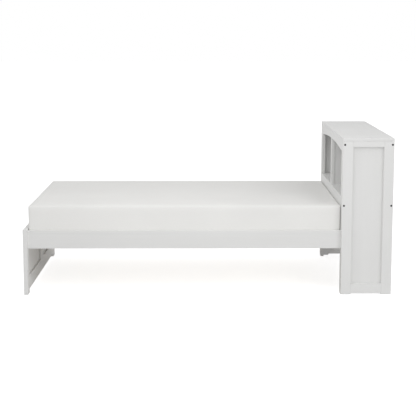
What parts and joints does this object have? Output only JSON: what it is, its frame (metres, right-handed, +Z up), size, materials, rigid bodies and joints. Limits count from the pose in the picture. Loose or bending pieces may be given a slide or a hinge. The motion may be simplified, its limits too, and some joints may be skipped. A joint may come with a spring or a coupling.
{
  "type": "bookcase headboard bed",
  "caption": "Single bed with a low panelled footboard, side rails, slats, mattress and a bookcase headboard with open niches under an arched rail.",
  "frame": {"origin": "on the floor, under the middle of the bed's length and width", "axes": "+X from the footboard to the bookcase headboard, +Y across the bed to the right-hand side of a sleeper on their back, +Z up"},
  "size_m": [2.248, 1.09, 0.965],
  "materials": {
    "white_paint": "satin",
    "bare_wood": "matte",
    "dark_steel": "satin",
    "steel": "satin",
    "brass": "satin",
    "ticking": "matte"
  },
  "bodies": {
    "root": {"left_front_post": "white_paint", "left_rear_post": "white_paint", "left_end_top_rail": "white_paint", "left_end_bottom_rail": "white_paint", "left_end_panel": "white_paint", "right_front_post": "white_paint", "right_rear_post": "white_paint", "right_end_top_rail": "white_paint", "right_end_bottom_rail": "white_paint", "right_end_panel": "white_paint", "front_left_stile": "white_paint", "front_right_stile": "white_paint", "front_arched_rail": "white_paint", "front_mullion": "white_paint", "front_middle_rail": "white_paint", "front_lower_panel": "white_paint", "front_bottom_rail": "white_paint", "back_left_stile": "white_paint", "back_right_stile": "white_paint", "back_top_rail": "white_paint", "back_upper_panel": "white_paint", "back_middle_rail": "white_paint", "back_lower_panel": "white_paint", "back_bottom_rail": "white_paint", "niche_floor": "white_paint", "niche_divider": "white_paint", "shelf_cleats": "white_paint", "top_board": "white_paint", "top_board_dowels": "bare_wood", "case_bolts": "dark_steel", "threaded_inserts": "brass", "footboard_left_post": "white_paint", "footboard_right_post": "white_paint", "footboard_left_panel": "white_paint", "footboard_right_panel": "white_paint", "footboard_bottom_rail": "white_paint", "footboard_top_rail": "white_paint", "footboard_centre_stile": "white_paint", "left_side_rail": "white_paint", "right_side_rail": "white_paint", "left_slat_ledger": "bare_wood", "right_slat_ledger": "bare_wood", "slat_01": "bare_wood", "slat_02": "bare_wood", "slat_03": "bare_wood", "slat_04": "bare_wood", "slat_05": "bare_wood", "slat_06": "bare_wood", "slat_07": "bare_wood", "slat_08": "bare_wood", "slat_09": "bare_wood", "slat_10": "bare_wood", "slat_11": "bare_wood", "slat_12": "bare_wood", "ledger_screws": "steel", "slat_screws": "steel", "rail_bolts": "dark_steel", "barrel_nuts": "steel", "mattress": "ticking"}
  },
  "joints": []
}
